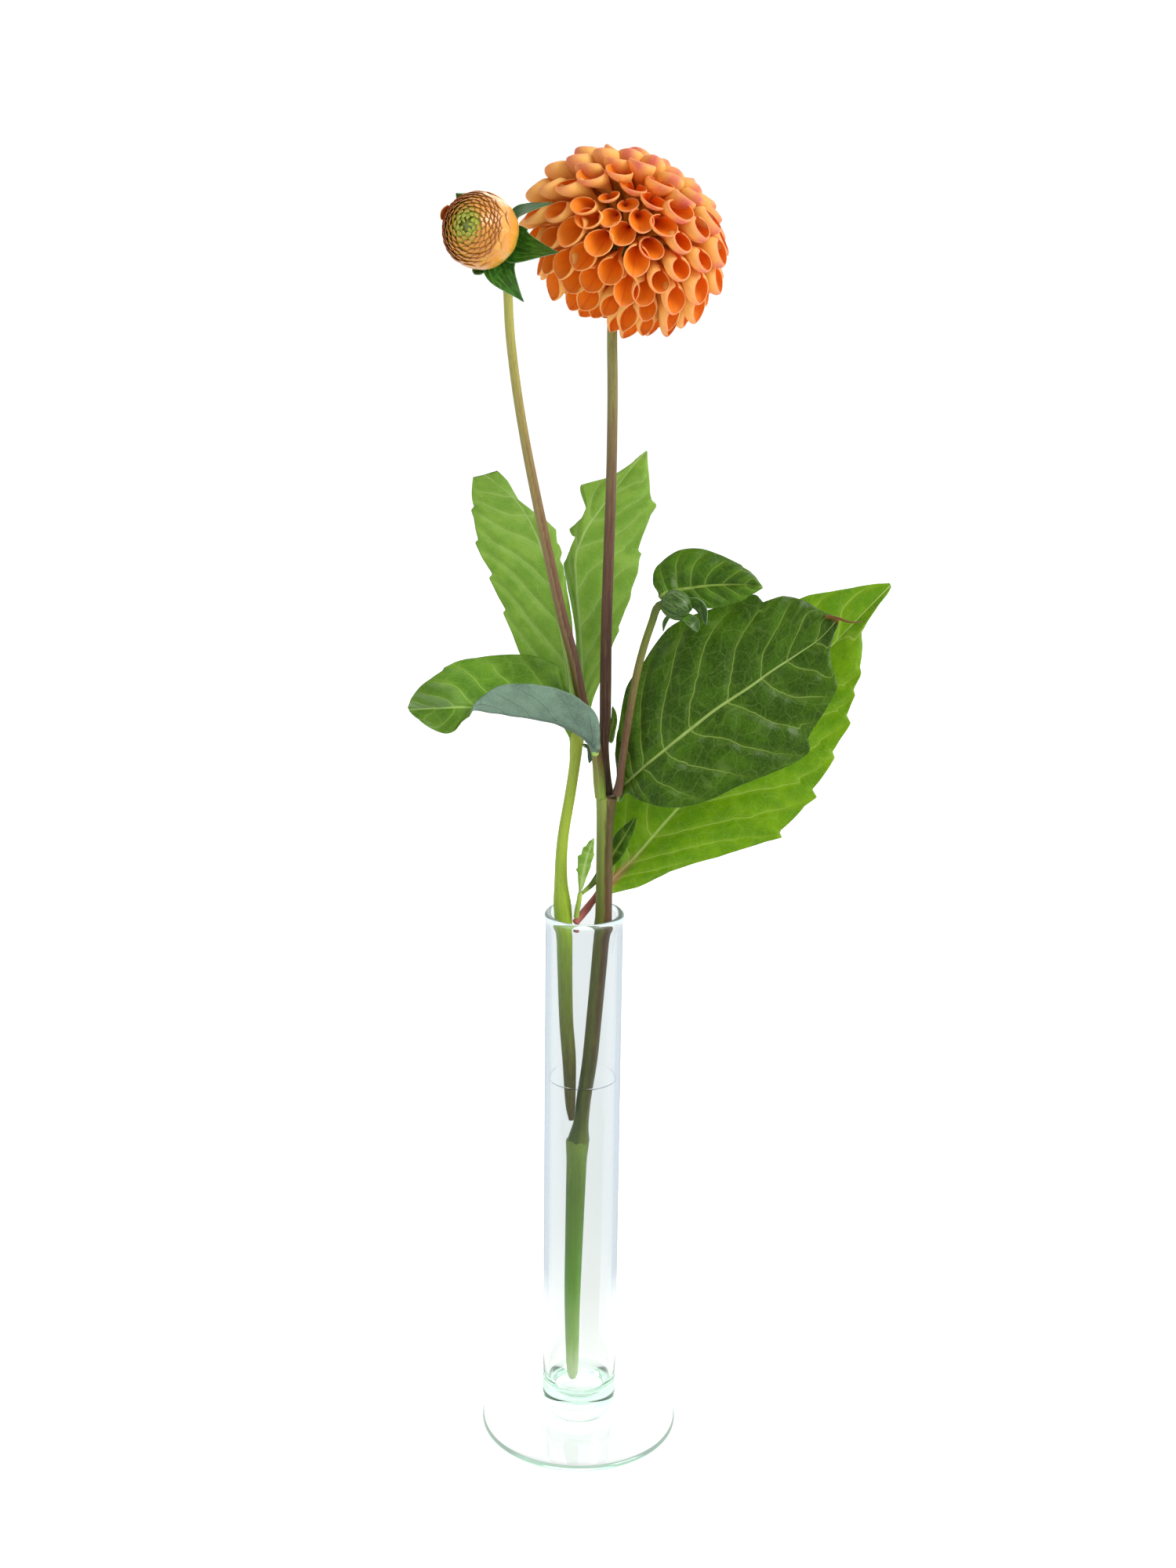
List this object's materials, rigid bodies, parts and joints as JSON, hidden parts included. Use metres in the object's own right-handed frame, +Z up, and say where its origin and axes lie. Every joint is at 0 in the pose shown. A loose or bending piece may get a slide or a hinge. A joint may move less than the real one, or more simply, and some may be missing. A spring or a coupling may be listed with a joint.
{
  "type": "pompon dahlia in a bud vase",
  "caption": "Cut orange pompon dahlia shoot with an open bloom, buds and leaves, standing in a slim clear glass tube vase on a round glass foot.",
  "frame": {"origin": "centre of the vase foot's flat underside, on the surface it stands on", "axes": "+Z up along the vase; the bloom and the buds face -Y, the front; +X to the right seen from the front"},
  "size_m": [0.1716, 0.0877, 0.476],
  "materials": {
    "clear_glass": "clear soda glass, faint green in thick sections, fire-polished",
    "green_stem": "fresh green stem, satin, fine lengthwise ribs",
    "brown_stem": "maroon-brown stem turning olive towards the flower, satin",
    "dark_leaf": "fresh dark green leaf, glossy upper side, greyish underside, pale veins",
    "light_leaf": "fresh light green leaf, satin, pale veins",
    "bloom_floret": "orange ray florets, velvety, peach margins with pink tips",
    "bud_floret": "waxy yellow-orange young florets with brown-orange tips",
    "receptacle": "green receptacle, matte",
    "bract": "fleshy dark green bract with pale veins"
  },
  "bodies": {
    "root": {"bloom_calyx": "receptacle", "bloom_eye": "bloom_floret", "bloom_receptacle": "receptacle", "bloom_stem": "brown_stem", "branch_stem": "green_stem", "bud_bract_back": "bract", "bud_bract_lower": "bract", "bud_bract_side": "bract", "bud_bract_stub": "bract", "bud_bract_upper": "bract", "bud_core": "bud_floret", "bud_outer_florets": "bud_floret", "bud_receptacle": "receptacle", "bud_stem": "brown_stem", "floret_ring_01": "bloom_floret", "floret_ring_02": "bloom_floret", "floret_ring_03": "bloom_floret", "floret_ring_04": "bloom_floret", "floret_ring_05": "bloom_floret", "floret_ring_06": "bloom_floret", "floret_ring_07": "bloom_floret", "floret_ring_08": "bloom_floret", "floret_ring_09": "bloom_floret", "floret_ring_10": "bloom_floret", "floret_ring_11": "bloom_floret", "leaf_back_left": "light_leaf", "leaf_back_right": "light_leaf", "leaf_big_right": "light_leaf", "leaf_folded": "dark_leaf", "leaf_front_right": "dark_leaf", "leaf_small_top": "dark_leaf", "leaf_tiny_left": "dark_leaf", "leaf_tiny_right": "dark_leaf", "lower_stem": "green_stem", "main_stem": "brown_stem", "shoot_leaf_dark": "dark_leaf", "shoot_leaf_pale": "light_leaf", "shoot_stem": "green_stem", "side_bud": "bract", "side_bud_bract_low": "bract", "side_bud_bract_middle": "bract", "side_bud_bract_right": "bract", "side_stem": "brown_stem", "vase_foot": "clear_glass", "vase_tube": "clear_glass"}
  },
  "joints": []
}
